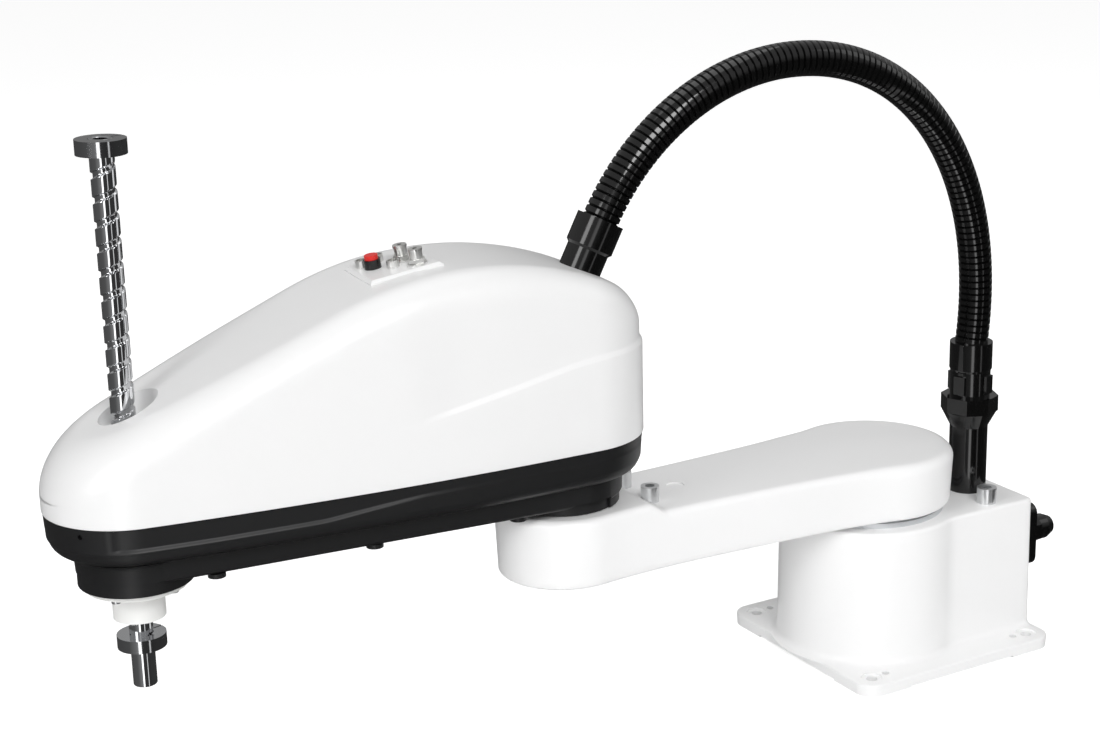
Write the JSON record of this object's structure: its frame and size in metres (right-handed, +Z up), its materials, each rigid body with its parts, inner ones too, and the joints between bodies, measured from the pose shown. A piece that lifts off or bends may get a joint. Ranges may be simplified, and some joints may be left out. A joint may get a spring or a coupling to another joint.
{
  "type": "four-axis scara robot arm",
  "caption": "White four-axis SCARA arm: bolted base, two swinging links, ball-screw spline tool shaft, black corrugated cable hose arching over the joints.",
  "frame": {"origin": "where the base axis meets the mounting face, the underside of the foot plate's corner pads", "axes": "+Z up along the base axis; +X from the base towards the tool along the upper arm; +Y to the arm's left, right-handed"},
  "size_m": [0.8117, 0.193, 0.5035],
  "materials": {
    "white_paint": "white powder coat on cast aluminium, satin",
    "white_shell": "white moulded cover, semi-gloss",
    "white_polymer": "white machined polymer cup, satin",
    "black_cast": "black gloss paint on cast aluminium",
    "black_plastic": "black moulded polyamide, semi-gloss",
    "hose_polyamide": "black corrugated polyamide hose, glossy ribs",
    "bright_steel": "hard chromed and ground steel",
    "dark_steel": "black-oxidised turned steel",
    "zinc_steel": "zinc plated screws",
    "bare_aluminium": "machined aluminium",
    "gear_steel": "machined steel",
    "motor_black": "black enamel on motor housing",
    "belt_rubber": "reinforced toothed belt",
    "nickel_brass": "nickel plated brass",
    "red_plastic": "red moulded button cap"
  },
  "bodies": {
    "base": {"base_casting": "white_paint", "base_stop_bolts": "zinc_steel", "rear_connector_plate": "black_plastic", "rear_cable_gland": "black_plastic", "j1_motor": "motor_black", "j1_reducer": "gear_steel", "conduit_tube": "black_plastic", "conduit_nut": "black_plastic", "hose_lower_fitting": "black_plastic", "cable_hose": "hose_polyamide"},
    "arm_1": {"arm_1_casting": "white_paint", "j1_output_hub": "gear_steel", "arm_stop_bolts": "zinc_steel", "j2_post": "gear_steel", "j2_post_screws": "zinc_steel"},
    "arm_2": {"forearm_casting": "black_cast", "forearm_cover": "white_shell", "underside_screws": "black_cast", "j2_reducer": "gear_steel", "j2_motor": "motor_black", "nose_bearing": "gear_steel", "nose_bridge": "bare_aluminium", "shaft_cup": "white_polymer", "cup_screws": "zinc_steel", "theta_bracket": "bare_aluminium", "theta_motor": "motor_black", "theta_belt": "belt_rubber", "z_bracket": "bare_aluminium", "z_motor": "motor_black", "z_belt": "belt_rubber", "top_panel": "white_shell", "button_bezel": "black_plastic", "tube_fittings": "nickel_brass", "signal_connectors": "nickel_brass", "hose_upper_fitting": "black_plastic"},
    "spline_nut_body": {"spline_nut": "gear_steel"},
    "tool_shaft_body": {"z_shaft": "bright_steel", "upper_collar": "dark_steel", "lower_collar": "dark_steel"},
    "ball_nut_body": {"ball_nut": "gear_steel"},
    "theta_pulley_body": {"theta_motor_pulley": "bare_aluminium"},
    "z_pulley_body": {"z_motor_pulley": "bare_aluminium"},
    "button_body": {"brake_button": "red_plastic"}
  },
  "joints": [
    {"name": "j1_base_turn", "type": "hinge", "parent": "base", "child": "arm_1", "pos_m": [0, 0, 0.12], "axis": [0, 0, 1], "range_deg": [-105, 105], "deforming": ["cable_hose"]},
    {"name": "j2_elbow_turn", "type": "hinge", "parent": "arm_1", "child": "arm_2", "pos_m": [0.285, 0, 0.18], "axis": [0, 0, 1], "range_deg": [-111, 119], "deforming": ["cable_hose"]},
    {"name": "j4_tool_turn", "type": "hinge", "parent": "arm_2", "child": "spline_nut_body", "pos_m": [0.59923, -0.02197, 0.2], "axis": [0, 0, 1], "range_deg": [-360, 360]},
    {"name": "j3_tool_stroke", "type": "slide", "parent": "spline_nut_body", "child": "tool_shaft_body", "axis": [0, 0, 1], "range_m": [-0.16, 0.01]},
    {"name": "ball_nut_turn", "type": "hinge", "parent": "spline_nut_body", "child": "ball_nut_body", "pos_m": [0.59923, -0.02197, 0.25], "axis": [0, 0, 1], "range_deg": [-3700, 3700]},
    {"name": "theta_motor_turn", "type": "hinge", "parent": "arm_2", "child": "theta_pulley_body", "pos_m": [0.46955, -0.0129, 0.21], "axis": [0, 0, 1], "range_deg": [-700, 700]},
    {"name": "z_motor_turn", "type": "hinge", "parent": "arm_2", "child": "z_pulley_body", "pos_m": [0.51943, -0.01639, 0.25], "axis": [0, 0, 1], "range_deg": [-6300, 6300]},
    {"name": "brake_button_push", "type": "slide", "parent": "arm_2", "child": "button_body", "axis": [0.1515, -0.0106, 0.9884], "range_m": [-0.0025, 0], "stiffness_N_per_m": 400, "springref_m": 0.001}
  ],
  "couplings": [
    {"joint": "theta_motor_turn", "follows": "j4_tool_turn", "ratio": 1.8571},
    {"joint": "ball_nut_turn", "follows": "j3_tool_stroke", "rad_per_m": -392.7},
    {"joint": "z_motor_turn", "follows": "j3_tool_stroke", "rad_per_m": -673.2}
  ]
}
